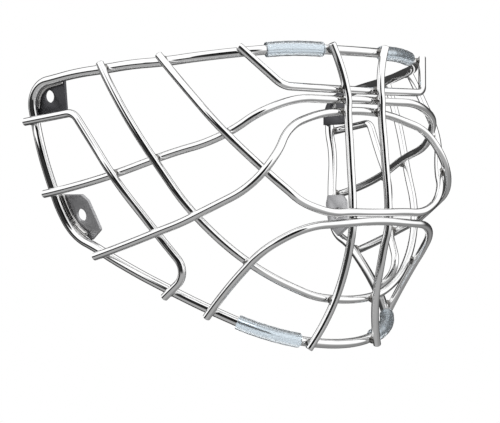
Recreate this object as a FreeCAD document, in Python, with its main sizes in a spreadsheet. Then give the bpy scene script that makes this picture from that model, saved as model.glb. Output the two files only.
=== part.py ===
import FreeCAD, Part
import math
import os

from FreeCAD import Placement, Rotation, Vector

# Wire face cage of a goalie mask: a rim wire bent to the face opening, crossed by
# outer and inner wires that are resistance welded where they touch.  +Z is up,
# the face looks along -Y, and X = 0 is the plane of symmetry.  The origin is the
# centre of the four screw holes that hold the cage to a mask shell.  Millimetres.

# ---------------------------------------------------------------- driving sizes
SIZES = [
    ("cage_width", 236.0, "rim centre to rim centre, ear to ear"),
    ("cage_depth", 153.0, "rear of the rim to the front of the nose wire"),
    ("cage_height", 160.0, "chin to crown, rim centre to rim centre"),
    ("rim_wire_diameter", 5.3, "wire of the rim"),
    ("grid_wire_diameter", 4.4, "wire of every crossing member"),
    ("weld_gap", 0.35, "clearance that a weld nugget fills between two wires"),
    ("end_overhang", 3.3, "straight wire end past the rim"),
    ("nugget_diameter", 5.6, "resistance weld nugget"),
    ("crown_bend_radius", 10.0, "bend of the crown wire"),
    ("cheek_upper_bend_radius", 7.0, "upper bend of a cheek wire"),
    ("cheek_lower_bend_radius", 10.0, "lower bend of a cheek wire"),
    ("rim_corner_radius", 14.0, "rear upper corner of the rim"),
    ("sleeve_wall", 1.45, "vinyl sleeve wall"),
    ("crown_sleeve_length", 34.0, "vinyl sleeve on the crown of the rim"),
    ("crown_sleeve_setback", 4.5, "bar crossing to the near end of a crown sleeve"),
    ("chin_sleeve_length", 36.0, "vinyl sleeve on the chin of the rim"),
    ("chin_sleeve_setback", 5.5, "bar crossing to the near end of a chin sleeve"),
    ("tab_thickness", 2.0, "mounting tab plate"),
    ("tab_hole_diameter", 7.0, "screw hole of a tab"),
    ("tab_seat_gap", 0.15, "clearance between a tab and the rim over it"),
    ("tab_corner_radius", 1.5, "free corners of a tab"),
    ("temple_tab_front", 11.7, "hole centre to the front edge"),
    ("temple_tab_drop", 10.5, "hole centre to the lower edge"),
    ("jaw_tab_rise", 11.5, "hole centre to the upper edge"),
    ("jaw_tab_shoulder", 2.2, "hole centre to the end of the upper edge"),
    ("jaw_tab_front", 12.6, "hole centre to the foremost point"),
    ("temple_bead_diameter", 1.6, "bead of a temple tab, clear of the screw hole"),
    ("jaw_bead_diameter", 2.8, "bead of a jaw tab"),
    ("bead_gap", 0.05, "clearance of the bead to what it joins"),
    ("temple_bead_setback", 13.5, "temple waypoint to the start of the bead"),
    ("temple_bead_length", 30.0, "bead of a temple tab"),
    ("jaw_bead_setback", 2.5, "brow crossing to the start of the bead"),
    ("jaw_bead_length", 32.0, "bead of a jaw tab"),
]
# The layout below was drawn for a cage of this size; other sizes stretch it.
LAYOUT_WIDTH = 236.0
LAYOUT_DEPTH = 153.0
LAYOUT_HEIGHT = 160.0

document = FreeCAD.newDocument("GoalieCage")
sheet = document.addObject("Spreadsheet::Sheet", "Sizes")
sheet.set("A1", "alias")
sheet.set("B1", "value")
sheet.set("C1", "meaning")
for row, (alias, value, meaning) in enumerate(SIZES, start=2):
    sheet.set("A%d" % row, alias)
    sheet.set("B%d" % row, str(value))
    sheet.setAlias("B%d" % row, alias)
    sheet.set("C%d" % row, meaning)
document.recompute()


def size(alias):
    """The value of one driving size."""
    return float(getattr(sheet, alias))


# --------------------------------------------------------------------- layout
# Left half of the cage.  A crossing names the inner wire and the outer wire that
# lies on it, and the place of the inner wire's centre line.
CROSSINGS = {
    "crown_bar": ("rim", "bar", (-19.0, -118.5, 56.5)),
    "crown_hoop": ("rim", "hoop", (-67.0, -101.5, 54.0)),
    "crown_nose": ("rim", "nose", (-92.5, -68.0, 49.5)),
    "crown_chin": ("rim", "chin", (-107.0, -36.5, 46.5)),
    "temple_cheek": ("rim", "cheek", (-116.0, 15.5, 19.5)),
    "temple_brow": ("rim", "brow", (-109.5, 7.0, -20.0)),
    "jaw_eye": ("rim", "eye", (-97.5, -22.0, -54.0)),
    "jaw_cheek": ("rim", "cheek", (-79.5, -58.0, -74.5)),
    "jaw_mouth": ("rim", "mouth", (-67.0, -77.0, -85.0)),
    "chin_bar": ("rim", "bar", (-24.0, -107.0, -102.5)),
    "bar_hoop": ("hoop", "bar", (-13.5, -122.0, 35.0)),
    "bar_brow": ("brow", "bar", (-13.0, -123.0, 29.5)),
    "bar_eye": ("eye", "bar", (-13.0, -123.0, 23.0)),
    "bar_nose": ("bar", "nose", (-14.0, -132.0, -32.0)),
    "bar_mouth": ("bar", "mouth", (-14.0, -132.0, -37.0)),
    "bar_chin": ("chin", "bar", (-15.5, -115.5, -79.0)),
    "nose_brow": ("brow", "nose", (-79.0, -102.5, 10.5)),
    "nose_eye": ("nose", "eye", (-68.0, -120.0, -9.5)),
    "chin_brow": ("brow", "chin", (-94.5, -64.0, -2.5)),
    "chin_eye": ("chin", "eye", (-86.0, -84.5, -33.0)),
    "chin_mouth": ("chin", "mouth", (-62.5, -101.0, -58.5)),
    "cheek_brow": ("brow", "cheek", (-103.5, -40.0, -10.5)),
    "cheek_eye": ("cheek", "eye", (-91.5, -59.0, -42.5)),
}
# Places that a wire passes between its crossings.
WAYPOINTS = {
    "crown_middle": (-40.5, -114.0, 56.5),
    "crown_side": (-83.5, -85.0, 51.5),
    "crown_rear": (-102.5, -50.0, 48.0),
    "temple_top": (-112.5, -17.5, 44.5),
    "temple_corner": (-118.5, 18.0, 39.0),
    "temple_side": (-115.0, 12.0, 5.0),
    "jaw_upper": (-107.5, 5.0, -28.0),
    "jaw_lower": (-103.5, -1.0, -41.0),
    "jaw_front": (-89.5, -40.0, -64.5),
    "chin_side": (-50.0, -96.0, -95.5),
    "bar_upper": (-13.5, -129.5, 2.0),
    "bar_lower": (-13.5, -128.0, -55.0),
    "hoop_corner": (-54.5, -120.0, 35.5),
    "brow_side": (-66.0, -116.5, 22.0),
    "brow_front": (-56.5, -120.0, 26.0),
    "eye_side": (-65.5, -125.5, -1.5),
    "eye_corner": (-54.0, -124.0, 12.0),
    "eye_front": (-33.5, -121.5, 20.0),
    "mouth_side": (-64.0, -110.0, -55.0),
    "mouth_front": (-54.0, -125.5, -43.5),
    "cheek_top": (-116.5, -19.0, 23.0),
    "cheek_upper": (-112.0, -30.5, 5.5),
    "cheek_bottom": (-82.0, -75.0, -64.5),
    "chin_upper": (-106.5, -53.0, 19.5),
    "chin_lower": (-41.0, -110.5, -71.5),
    "chin_front": (-22.5, -114.5, -78.0),
    "nose_upper": (-93.5, -81.5, 38.0),
    "nose_side": (-61.0, -127.5, -18.5),
    "nose_lower": (-52.5, -132.0, -26.0),
    "nose_front": (-41.5, -135.5, -30.5),
}
# Waypoints that are the corner of two straight runs, with their bend.
BENDS = {
    "temple_corner": "rim_corner_radius",
    "hoop_corner": "crown_bend_radius",
    "cheek_top": "cheek_upper_bend_radius",
    "cheek_bottom": "cheek_lower_bend_radius",
}
# Each wire's left half, in order.  LOOP closes through the mirror plane twice,
# ACROSS passes through it once, and SIDE stays on its own side.
LOOP, ACROSS, SIDE = "loop", "across", "side"
ROUTES = {
    "rim": (LOOP, ["crown_bar", "crown_middle", "crown_hoop", "crown_side", "crown_nose",
                   "crown_rear", "crown_chin", "temple_top", "temple_corner",
                   "temple_cheek", "temple_side", "temple_brow", "jaw_upper",
                   "jaw_lower", "jaw_eye", "jaw_front", "jaw_cheek", "jaw_mouth",
                   "chin_side", "chin_bar"]),
    "hoop": (ACROSS, ["crown_hoop", "hoop_corner", "bar_hoop"]),
    "brow": (ACROSS, ["temple_brow", "cheek_brow", "chin_brow", "nose_brow",
                      "brow_side", "brow_front", "bar_brow"]),
    "eye": (ACROSS, ["jaw_eye", "cheek_eye", "chin_eye", "nose_eye", "eye_side",
                     "eye_corner", "eye_front", "bar_eye"]),
    "nose": (ACROSS, ["crown_nose", "nose_upper", "nose_brow", "nose_eye", "nose_side",
                      "nose_lower", "nose_front", "bar_nose"]),
    "mouth": (ACROSS, ["jaw_mouth", "chin_mouth", "mouth_side", "mouth_front",
                       "bar_mouth"]),
    "chin": (ACROSS, ["crown_chin", "chin_upper", "chin_brow", "chin_eye", "chin_mouth",
                      "chin_lower", "chin_front", "bar_chin"]),
    "bar": (SIDE, ["crown_bar", "bar_hoop", "bar_brow", "bar_eye", "bar_upper",
                   "bar_nose", "bar_mouth", "bar_lower", "bar_chin", "chin_bar"]),
    "cheek": (SIDE, ["temple_cheek", "cheek_top", "cheek_upper", "cheek_brow",
                     "cheek_eye", "cheek_bottom", "jaw_cheek"]),
}
# Centre of the head inside the cage, from which outward is judged.
HEAD_CENTRE = (0.0, 30.0, -31.5)
# Screw holes of the left tabs, and the rim stations that each tab lies under.
TEMPLE_HOLE = (-113.0, 7.0, 32.7)
TEMPLE_SEAT = ["temple_top", "temple_corner", "temple_cheek"]
JAW_HOLE = (-102.0, -7.2, -33.3)
JAW_SEAT = ["temple_brow", "jaw_lower", "jaw_eye"]


# ------------------------------------------------------------ path geometry
def laid_out(point):
    """A layout point stretched to the size of the cage."""
    return Vector(point[0] * size("cage_width") / LAYOUT_WIDTH,
                  point[1] * size("cage_depth") / LAYOUT_DEPTH,
                  point[2] * size("cage_height") / LAYOUT_HEIGHT)


def mirrored(vector):
    """A point or direction on the other side of the plane of symmetry."""
    return Vector(-vector.x, vector.y, vector.z)


def unit(vector):
    """The direction of a vector."""
    return Vector(vector).normalize()


def wire_radius(name):
    """Radius of the wire that a route belongs to."""
    if name == "rim":
        return size("rim_wire_diameter") / 2.0
    return size("grid_wire_diameter") / 2.0


def directions(points, closed):
    """Direction of travel at each point: that of the circle through its neighbours."""
    count = len(points)
    steps = [points[(i + 1) % count] - points[i] for i in range(count)]
    result = [None] * count
    for i in range(count):
        if closed or 0 < i < count - 1:
            before = steps[i - 1]
            after = steps[i]
            result[i] = unit(unit(before) * after.Length + unit(after) * before.Length)
    if not closed:
        first = unit(steps[0])
        last = unit(steps[-2])
        result[0] = unit(first * (2.0 * first.dot(result[1])) - result[1])
        result[-1] = unit(last * (2.0 * last.dot(result[-2])) - result[-2])
    return result


def whole_route(kind, half):
    """The left half of a route continued through the mirror plane."""
    if kind == SIDE:
        return list(half)
    return list(half) + [mirrored(point) for point in reversed(half)]


PLACE = {name: laid_out(spot[2]) for name, spot in CROSSINGS.items()}
PLACE.update({name: laid_out(spot) for name, spot in WAYPOINTS.items()})
NORMAL = {name: Vector(0, 0, 0) for name in CROSSINGS}


def stacking(name):
    """Centre distance of the two wires at a crossing."""
    inner, outer, spot = CROSSINGS[name]
    return wire_radius(inner) + wire_radius(outer) + size("weld_gap")


def station(wire, name):
    """Where the centre line of a wire passes a named place."""
    if name in CROSSINGS and CROSSINGS[name][1] == wire:
        return PLACE[name] + NORMAL[name] * stacking(name)
    return Vector(PLACE[name])


def heading_at(wire, name):
    """Direction of a wire where it passes a crossing."""
    points, headings = passing_points(wire)
    spot = station(wire, name)
    nearest = min(range(len(points)), key=lambda k: (points[k] - spot).Length)
    return headings[nearest]


def turn_normals_outward():
    """Point each crossing's normal square to both of its wires, away from the head."""
    turned = {}
    for name, (inner, outer, spot) in CROSSINGS.items():
        normal = unit(heading_at(inner, name).cross(heading_at(outer, name)))
        if normal.dot(PLACE[name] - laid_out(HEAD_CENTRE)) < 0.0:
            normal = -normal
        turned[name] = normal
    NORMAL.update(turned)


def passing_points(wire):
    """Points of a route with their directions, each bend as its two ends."""
    kind, names = ROUTES[wire]
    corners = whole_route(kind, [station(wire, name) for name in names])
    labels = list(names)
    if kind != SIDE:
        labels += list(reversed(names))
    points = []
    fixed = []
    for i, corner in enumerate(corners):
        if labels[i] not in BENDS:
            points.append(corner)
            fixed.append(None)
            continue
        arriving = unit(corner - corners[i - 1])
        leaving = unit(corners[i + 1] - corner)
        setback = size(BENDS[labels[i]]) * math.tan(arriving.getAngle(leaving) / 2.0)
        points += [corner - arriving * setback, corner + leaving * setback]
        fixed += [arriving, leaving]
    headings = directions(points, kind == LOOP)
    for i, direction in enumerate(fixed):
        if direction is not None:
            headings[i] = direction
    if kind != LOOP:
        first = unit(points[1] - points[0])
        last = unit(points[-1] - points[-2])
        headings[0] = unit(first * (2.0 * first.dot(headings[1])) - headings[1])
        headings[-1] = unit(last * (2.0 * last.dot(headings[-2])) - headings[-2])
    return points, headings


def arc_edge(start, apex, finish):
    """Arc that leaves start towards apex and reaches finish from apex."""
    chord = finish - start
    half_turn = chord.getAngle(apex - start)
    if half_turn < 0.0005:
        return Part.LineSegment(start, finish).toShape()
    middle = (start + finish) * 0.5
    rise = unit(apex - middle) * (chord.Length / 2.0 * math.tan(half_turn / 2.0))
    return Part.Arc(start, middle + rise, finish).toShape()


def tangent_arcs(start, leaving, finish, arriving):
    """Two arcs from start to finish that keep both directions and meet smoothly."""
    gap = finish - start
    both = leaving + arriving
    parting = 1.0 - leaving.dot(arriving)
    if parting < 1e-9:
        reach = gap.dot(gap) / (4.0 * gap.dot(arriving))
    else:
        along = gap.dot(both)
        reach = (math.sqrt(along * along + 2.0 * parting * gap.dot(gap)) - along)
        reach = reach / (2.0 * parting)
    apex_one = start + leaving * reach
    apex_two = finish - arriving * reach
    meeting = (apex_one + apex_two) * 0.5
    return [arc_edge(start, apex_one, meeting), arc_edge(meeting, apex_two, finish)]


def centre_line(points, headings, closed, overhang):
    """Wire path through the points, with straight ends of the given overhang."""
    edges = []
    if overhang > 0.0:
        tip = points[0] - headings[0] * overhang
        edges.append(Part.LineSegment(tip, points[0]).toShape())
    legs = len(points) if closed else len(points) - 1
    for i in range(legs):
        after = (i + 1) % len(points)
        edges += tangent_arcs(points[i], headings[i], points[after], headings[after])
    if overhang > 0.0:
        tip = points[-1] + headings[-1] * overhang
        edges.append(Part.LineSegment(points[-1], tip).toShape())
    return Part.Wire(edges)


# Lifting the outer wires off the inner ones turns both a little, so the normals
# are found again until they stay put.
NORMAL_PASSES = 6
for _ in range(NORMAL_PASSES):
    turn_normals_outward()


# ---------------------------------------------------------------- solid helpers
NODES = []


def keep(feature, label):
    """Give a finished sub-part its name and list it for export."""
    feature.Label = label
    NODES.append(feature)
    return feature


def path_feature(path, label):
    """A document object that holds a centre line."""
    feature = document.addObject("Part::Feature", label + "_path")
    feature.Shape = path
    return feature


def start_of(path):
    """First point of a path and the direction in which it sets off."""
    edge = path.OrderedEdges[0]
    start = path.OrderedVertexes[0].Point
    first = edge.FirstParameter
    last = edge.LastParameter
    if (edge.valueAt(first) - start).Length < 1e-6:
        return start, edge.tangentAt(first)
    return start, -edge.tangentAt(last)


def rod(path, diameter, label):
    """Round rod along a path, its diameter bound to a sheet expression."""
    spine = path_feature(path, label)
    start, direction = start_of(path)
    circle = document.addObject("Part::Circle", label + "_section")
    circle.setExpression("Radius", "(%s) / 2" % diameter)
    circle.Placement = Placement(start, Rotation(Vector(0, 0, 1), direction))
    sweep = document.addObject("Part::Sweep", label + "_rod")
    sweep.Sections = [circle]
    sweep.Spine = (spine, ["Edge%d" % (i + 1) for i in range(len(path.Edges))])
    sweep.Solid = True
    sweep.Frenet = False
    return sweep


def reflected(feature, label):
    """Mirror image of a feature on the other side of the plane of symmetry."""
    mirror = document.addObject("Part::Mirroring", label + "_mirror")
    mirror.Source = feature
    mirror.Normal = Vector(1, 0, 0)
    mirror.Base = Vector(0, 0, 0)
    return keep(mirror, label)


# -------------------------------------------------------------------- the wires
WIRE_LABELS = {
    "rim": "rim_wire",
    "hoop": "crown_hoop_wire",
    "brow": "brow_wire",
    "eye": "eye_wire",
    "nose": "nose_wire",
    "mouth": "mouth_wire",
    "chin": "chin_wire",
    "bar": "centre_bar_left",
    "cheek": "cheek_wire_left",
}
paths = {}
wires = {}
for name, label in WIRE_LABELS.items():
    kind = ROUTES[name][0]
    overhang = 0.0 if kind == LOOP else size("end_overhang")
    points, headings = passing_points(name)
    paths[name] = centre_line(points, headings, kind == LOOP, overhang)
    gauge = "Sizes.rim_wire_diameter" if name == "rim" else "Sizes.grid_wire_diameter"
    wires[name] = keep(rod(paths[name], gauge, label), label)
wires["bar_right"] = reflected(wires["bar"], "centre_bar_right")
wires["cheek_right"] = reflected(wires["cheek"], "cheek_wire_right")


# --------------------------------------------------------------- vinyl sleeves
def stretch_of_rim(from_name, towards_name, setback, length):
    """Part of the rim's centre line that starts a setback past a named place."""
    points, headings = passing_points("rim")
    half = len(points) // 2
    first = min(range(half), key=lambda k: (points[k] - PLACE[from_name]).Length)
    last = min(range(half), key=lambda k: (points[k] - PLACE[towards_name]).Length)
    step = 1 if last > first else -1
    edges = []
    for i in range(first, last, step):
        edges += tangent_arcs(points[i], headings[i] * step,
                              points[i + step], headings[i + step] * step)
    travelled = 0.0
    kept = []
    for edge in edges:
        low = max(setback - travelled, 0.0)
        high = min(setback + length - travelled, edge.Length)
        if high - low > 0.01:
            begin = edge.getParameterByLength(low)
            end = edge.getParameterByLength(high)
            kept.append(edge.Curve.toShape(begin, end))
        travelled += edge.Length
    return Part.Wire(kept)


def sleeve(label, from_name, towards_name, setback, length):
    """Vinyl tube gripping the rim, as a thick rod with the rim wire taken out."""
    path = stretch_of_rim(from_name, towards_name, size(setback), size(length))
    bore = "Sizes.rim_wire_diameter + 2 * Sizes.sleeve_wall"
    body = rod(path, bore, label)
    cut = document.addObject("Part::Cut", label + "_tube")
    cut.Base = body
    cut.Tool = wires["rim"]
    keep(cut, label + "_left")
    reflected(cut, label + "_right")


sleeve("crown_sleeve", "crown_bar", "crown_hoop", "crown_sleeve_setback",
       "crown_sleeve_length")
sleeve("chin_sleeve", "chin_bar", "jaw_mouth", "chin_sleeve_setback",
       "chin_sleeve_length")


# --------------------------------------------------------------- mounting tabs
class TabPlane:
    """Plane of a tab's outer face, under three stations of the rim."""

    def __init__(self, seat, hole):
        one, two, three = [PLACE[name] for name in seat]
        normal = unit((two - one).cross(three - one))
        if normal.x > 0.0:
            normal = -normal
        sink = wire_radius("rim") + size("tab_seat_gap")
        self.normal = normal
        self.rise = unit(Vector(0, 0, 1) - normal * normal.z)
        self.front = unit(self.rise.cross(normal))
        if self.front.y > 0.0:
            self.front = -self.front
        base = one - normal * sink
        spot = laid_out(hole)
        self.hole = spot + normal * (base - spot).dot(normal)

    def flat(self, point):
        """Front and rise coordinates of a point dropped onto the plane."""
        offset = point - self.hole
        return offset.dot(self.front), offset.dot(self.rise)

    def solid(self, flat_point, height):
        """Point of the plane at flat coordinates, raised along the normal."""
        return (self.hole + self.front * flat_point[0] + self.rise * flat_point[1]
                + self.normal * height)


def outline(plane, corners):
    """Closed outline with each corner rounded by its own radius, or left sharp."""
    count = len(corners)
    points = [plane.solid(corner[:2], 0.0) for corner in corners]
    ends = []
    for i, corner in enumerate(corners):
        arriving = unit(points[i] - points[i - 1])
        leaving = unit(points[(i + 1) % count] - points[i])
        setback = corner[2] * math.tan(arriving.getAngle(leaving) / 2.0)
        ends.append((points[i] - arriving * setback, points[i], points[i] + leaving * setback))
    edges = []
    for i, (start, apex, finish) in enumerate(ends):
        if corners[i][2] > 0.0:
            edges.append(arc_edge(start, apex, finish))
        edges.append(Part.LineSegment(finish, ends[(i + 1) % count][0]).toShape())
    return Part.Wire(edges)


def tab(label, plane, corners):
    """Flat plate extruded inwards from its outer face, with a screw hole."""
    profile = document.addObject("Part::Feature", label + "_outline")
    profile.Shape = Part.Face(outline(plane, corners))
    plate = document.addObject("Part::Extrusion", label + "_plate")
    plate.Base = profile
    plate.DirMode = "Custom"
    plate.Dir = -plane.normal
    plate.setExpression("LengthFwd", "Sizes.tab_thickness")
    plate.Solid = True
    drill = document.addObject("Part::Cylinder", label + "_drill")
    drill.setExpression("Radius", "Sizes.tab_hole_diameter / 2")
    drill.setExpression("Height", "Sizes.tab_thickness * 3")
    depth = size("tab_thickness") * 2.0
    drill.Placement = Placement(plane.hole - plane.normal * depth,
                                Rotation(Vector(0, 0, 1), plane.normal))
    cut = document.addObject("Part::Cut", label + "_cut")
    cut.Base = plate
    cut.Tool = drill
    keep(cut, label + "_left")
    reflected(cut, label + "_right")


def bead(label, plane, path_on_rim, diameter):
    """Weld bead in the corner between the rim and the outer face of a tab."""
    radius = size(diameter) / 2.0
    gap = size("bead_gap")
    spots = []
    headings = []
    for edge in path_on_rim.OrderedEdges:
        travel = edge.tangentAt(edge.FirstParameter)
        spots.append(edge.valueAt(edge.FirstParameter))
        headings.append(travel)
    spots.append(edge.valueAt(edge.LastParameter))
    headings.append(edge.tangentAt(edge.LastParameter))
    shifted = []
    for spot, heading in zip(spots, headings):
        inward = unit(plane.normal.cross(heading))
        if inward.dot(plane.hole - spot) < 0.0:
            inward = -inward
        height = (spot - plane.hole).dot(plane.normal)
        drop = height - radius - gap
        reach = math.sqrt((wire_radius("rim") + radius + gap) ** 2 - drop ** 2)
        shifted.append(spot + inward * reach - plane.normal * drop)
    path = centre_line(shifted, headings, False, 0.0)
    weld = rod(path, "Sizes." + diameter, label)
    keep(weld, label + "_left")
    reflected(weld, label + "_right")


temple_plane = TabPlane(TEMPLE_SEAT, TEMPLE_HOLE)
jaw_plane = TabPlane(JAW_SEAT, JAW_HOLE)
corner_radius = size("tab_corner_radius")

top_flat = temple_plane.flat(PLACE["temple_top"])
corner_flat = temple_plane.flat(PLACE["temple_corner"])
cheek_flat = temple_plane.flat(PLACE["temple_cheek"])
front = size("temple_tab_front")
drop = size("temple_tab_drop")
slope = (top_flat[1] - corner_flat[1]) / (top_flat[0] - corner_flat[0])
lean = (corner_flat[0] - cheek_flat[0]) / (corner_flat[1] - cheek_flat[1])
tab("temple_tab", temple_plane, [
    (cheek_flat[0] + lean * (-drop - cheek_flat[1]), -drop, 0.0),
    (corner_flat[0], corner_flat[1], size("rim_corner_radius")),
    (front, corner_flat[1] + slope * (front - corner_flat[0]), 0.0),
    (front, -drop, corner_radius),
])
bead("temple_tab_weld", temple_plane,
     stretch_of_rim("temple_top", "temple_cheek", size("temple_bead_setback"),
                    size("temple_bead_length")), "temple_bead_diameter")

upper_flat = jaw_plane.flat(PLACE["jaw_upper"])
lower_flat = jaw_plane.flat(PLACE["jaw_lower"])
brow_flat = jaw_plane.flat(PLACE["temple_brow"])
eye_flat = jaw_plane.flat(PLACE["jaw_eye"])
rise = size("jaw_tab_rise")
shoulder = size("jaw_tab_shoulder")
front = size("jaw_tab_front")
foot = 0.52
tab("jaw_tab", jaw_plane, [
    (upper_flat[0], rise, 0.0),
    (shoulder, rise, corner_radius),
    (front * 0.5, rise * 0.72, 2.0 * corner_radius),
    (front, -rise * 0.74, corner_radius),
    (lower_flat[0] + (eye_flat[0] - lower_flat[0]) * foot,
     lower_flat[1] + (eye_flat[1] - lower_flat[1]) * foot, 0.0),
    (lower_flat[0], lower_flat[1], 0.0),
    (upper_flat[0], upper_flat[1], 0.0),
])
bead("jaw_tab_weld", jaw_plane,
     stretch_of_rim("temple_brow", "jaw_eye", size("jaw_bead_setback"),
                    size("jaw_bead_length")), "jaw_bead_diameter")


# -------------------------------------------------------------- weld nuggets
def nuggets(label, crossings):
    """Weld nuggets between crossing wires, cut to the faces of the wires."""
    balls = []
    touching = set()
    for name in crossings:
        inner, outer, spot = CROSSINGS[name]
        middle = wire_radius(inner) + size("weld_gap") / 2.0
        ball = document.addObject("Part::Sphere", label + "_" + name)
        ball.setExpression("Radius", "Sizes.nugget_diameter / 2")
        ball.Placement = Placement(PLACE[name] + NORMAL[name] * middle,
                                   Rotation(Vector(0, 0, 1), NORMAL[name]))
        balls.append(ball)
        touching.update((inner, outer))
    joined = document.addObject("Part::MultiFuse", label + "_balls")
    joined.Shapes = balls
    around = document.addObject("Part::Compound", label + "_wires")
    around.Links = [wires[name] for name in sorted(touching)]
    cut = document.addObject("Part::Cut", label + "_cut")
    cut.Base = joined
    cut.Tool = around
    keep(cut, label + "_left")
    reflected(cut, label + "_right")


nuggets("crown_rim_welds", ["crown_bar", "crown_hoop", "crown_nose", "crown_chin",
                            "temple_cheek"])
nuggets("jaw_rim_welds", ["temple_brow", "jaw_eye", "jaw_cheek", "jaw_mouth", "chin_bar"])
nuggets("centre_bar_welds", ["bar_hoop", "bar_brow", "bar_eye", "bar_nose", "bar_mouth",
                             "bar_chin"])
nuggets("side_grid_welds", ["nose_brow", "nose_eye", "chin_brow", "chin_eye",
                            "chin_mouth", "cheek_brow", "cheek_eye"])

# ------------------------------------------------------------ checks and export
document.recompute()
for feature in document.Objects:
    if "Invalid" in feature.State or "Error" in feature.State:
        raise RuntimeError("%s is not built: %s" % (feature.Label, feature.State))
for feature in NODES:
    shape = feature.Shape
    if shape.isNull() or not shape.isValid():
        raise RuntimeError("%s has no valid shape" % feature.Label)
os.makedirs("parts", exist_ok=True)
for feature in NODES:
    feature.Shape.exportStep(os.path.join("parts", feature.Label + ".step"))
    box = feature.Shape.BoundBox
    print("%-24s solids %2d  volume %8.1f  x %6.1f %6.1f  y %6.1f %6.1f  z %6.1f %6.1f"
          % (feature.Label, len(feature.Shape.Solids), feature.Shape.Volume,
             box.XMin, box.XMax, box.YMin, box.YMax, box.ZMin, box.ZMax))
for name, path in paths.items():
    bends = [edge.Curve.Radius for edge in path.Edges if hasattr(edge.Curve, "Radius")]
    area = math.pi * wire_radius(name) ** 2
    print("%-8s length %7.1f  smallest bend %5.1f  volume by length %9.1f  swept %9.1f"
          % (name, path.Length, min(bends), area * path.Length, wires[name].Shape.Volume))
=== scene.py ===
import logging
import math
from dataclasses import dataclass, field
from enum import Enum

import bmesh
import bpy
from mathutils import Matrix, Vector


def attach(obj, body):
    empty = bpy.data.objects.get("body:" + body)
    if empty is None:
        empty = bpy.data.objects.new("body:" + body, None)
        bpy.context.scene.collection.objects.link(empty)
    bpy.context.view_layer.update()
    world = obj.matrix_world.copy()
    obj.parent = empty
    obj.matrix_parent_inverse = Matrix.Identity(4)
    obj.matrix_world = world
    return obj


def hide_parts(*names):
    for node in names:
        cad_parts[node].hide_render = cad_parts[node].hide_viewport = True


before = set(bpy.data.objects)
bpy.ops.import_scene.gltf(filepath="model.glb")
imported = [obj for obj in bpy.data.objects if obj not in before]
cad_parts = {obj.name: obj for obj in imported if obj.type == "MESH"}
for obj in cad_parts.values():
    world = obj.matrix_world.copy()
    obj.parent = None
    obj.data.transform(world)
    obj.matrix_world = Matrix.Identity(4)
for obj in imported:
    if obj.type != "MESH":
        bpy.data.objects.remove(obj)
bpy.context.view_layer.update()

# Face cage of a goalie mask: polished stainless wires welded where they cross,
# four sheet tabs on weld beads, and clear vinyl sleeves gripping the rim.
# +Z is up, the face looks along -Y, X = 0 is the plane of symmetry, and the
# origin is the centre of the four screw holes.  Layout tables are millimetres.

MM = 0.001
LOG = logging.getLogger("face_cage")


class Run(Enum):
    """How a wire's listed left half is continued."""

    LOOP = "closes through the mirror plane twice"
    ACROSS = "passes the mirror plane once"
    SIDE = "stays on its own side"


class Side(Enum):
    """Side of the cage, with the sign that its X coordinates take."""

    LEFT = 1.0
    RIGHT = -1.0

    @property
    def tag(self) -> str:
        """The word that ends the names of this side's pieces.

        Returns:
            left or right.
        """
        return self.name.lower()


# A crossing names the inner wire, the outer wire that lies on it, and the place
# of the inner wire's centre line.
CROSSINGS: dict[str, tuple[str, str, tuple[float, float, float]]] = {
    "crown_bar": ("rim", "bar", (-19.0, -118.5, 56.5)),
    "crown_hoop": ("rim", "hoop", (-67.0, -101.5, 54.0)),
    "crown_nose": ("rim", "nose", (-92.5, -68.0, 49.5)),
    "crown_chin": ("rim", "chin", (-107.0, -36.5, 46.5)),
    "temple_cheek": ("rim", "cheek", (-116.0, 15.5, 19.5)),
    "temple_brow": ("rim", "brow", (-109.5, 7.0, -20.0)),
    "jaw_eye": ("rim", "eye", (-97.5, -22.0, -54.0)),
    "jaw_cheek": ("rim", "cheek", (-79.5, -58.0, -74.5)),
    "jaw_mouth": ("rim", "mouth", (-67.0, -77.0, -85.0)),
    "chin_bar": ("rim", "bar", (-24.0, -107.0, -102.5)),
    "bar_hoop": ("hoop", "bar", (-13.5, -122.0, 35.0)),
    "bar_brow": ("brow", "bar", (-13.0, -123.0, 29.5)),
    "bar_eye": ("eye", "bar", (-13.0, -123.0, 23.0)),
    "bar_nose": ("bar", "nose", (-14.0, -132.0, -32.0)),
    "bar_mouth": ("bar", "mouth", (-14.0, -132.0, -37.0)),
    "bar_chin": ("chin", "bar", (-15.5, -115.5, -79.0)),
    "nose_brow": ("brow", "nose", (-79.0, -102.5, 10.5)),
    "nose_eye": ("nose", "eye", (-68.0, -120.0, -9.5)),
    "chin_brow": ("brow", "chin", (-94.5, -64.0, -2.5)),
    "chin_eye": ("chin", "eye", (-86.0, -84.5, -33.0)),
    "chin_mouth": ("chin", "mouth", (-62.5, -101.0, -58.5)),
    "cheek_brow": ("brow", "cheek", (-103.5, -40.0, -10.5)),
    "cheek_eye": ("cheek", "eye", (-91.5, -59.0, -42.5)),
}
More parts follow.
